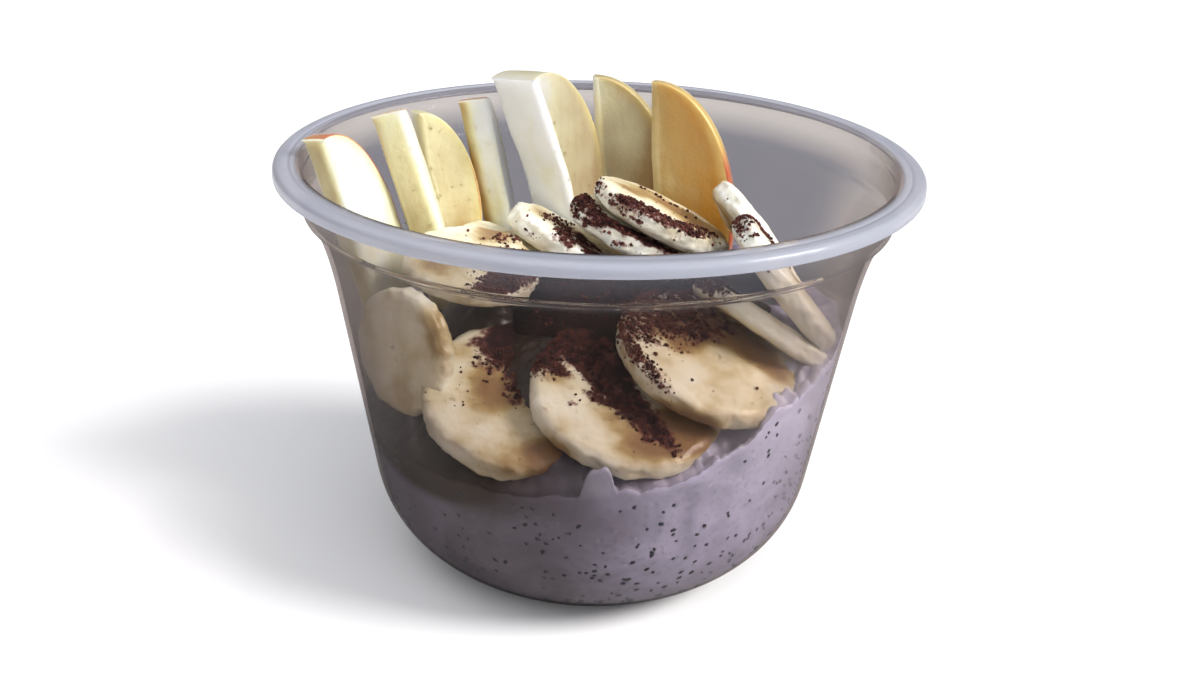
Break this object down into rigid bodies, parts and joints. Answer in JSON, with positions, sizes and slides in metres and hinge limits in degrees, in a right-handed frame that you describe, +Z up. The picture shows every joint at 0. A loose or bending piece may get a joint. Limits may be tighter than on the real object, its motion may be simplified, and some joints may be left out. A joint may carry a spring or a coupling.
{
  "type": "cup of overnight oats",
  "caption": "Clear flared cup filled with chia overnight oats, topped with fanned apple slices, banana rounds and cacao powder.",
  "frame": {"origin": "centre of the cup's foot on the surface that it stands on", "axes": "+Z up along the cup's axis, -Y towards the front, where the large banana slices face, +X to the right of the front"},
  "size_m": [0.118, 0.118, 0.0891],
  "materials": {
    "clear_plastic": "clear, thin and shiny",
    "oats_pudding": "lavender grey, wet and lumpy, with dark seeds",
    "banana_flesh": "cream, soft and moist",
    "apple_flesh": "pale cream cut flesh, wet, with a thin red and yellow skin",
    "cacao_powder": "very dark brown, dry and dusty"
  },
  "bodies": {
    "root": {"cup": "clear_plastic", "oats": "oats_pudding", "cacao_heap": "cacao_powder", "banana_front_1": "banana_flesh", "banana_front_2": "banana_flesh", "banana_front_3": "banana_flesh", "banana_front_4": "banana_flesh", "banana_right_1": "banana_flesh", "banana_right_2": "banana_flesh", "banana_right_3": "banana_flesh", "banana_back_1": "banana_flesh", "banana_back_2": "banana_flesh", "banana_back_3": "banana_flesh", "banana_back_4": "banana_flesh", "banana_back_5": "banana_flesh", "apple_1": "apple_flesh", "apple_2": "apple_flesh", "apple_3": "apple_flesh", "apple_4": "apple_flesh", "apple_5": "apple_flesh", "apple_6": "apple_flesh", "apple_7": "apple_flesh"}
  },
  "joints": []
}
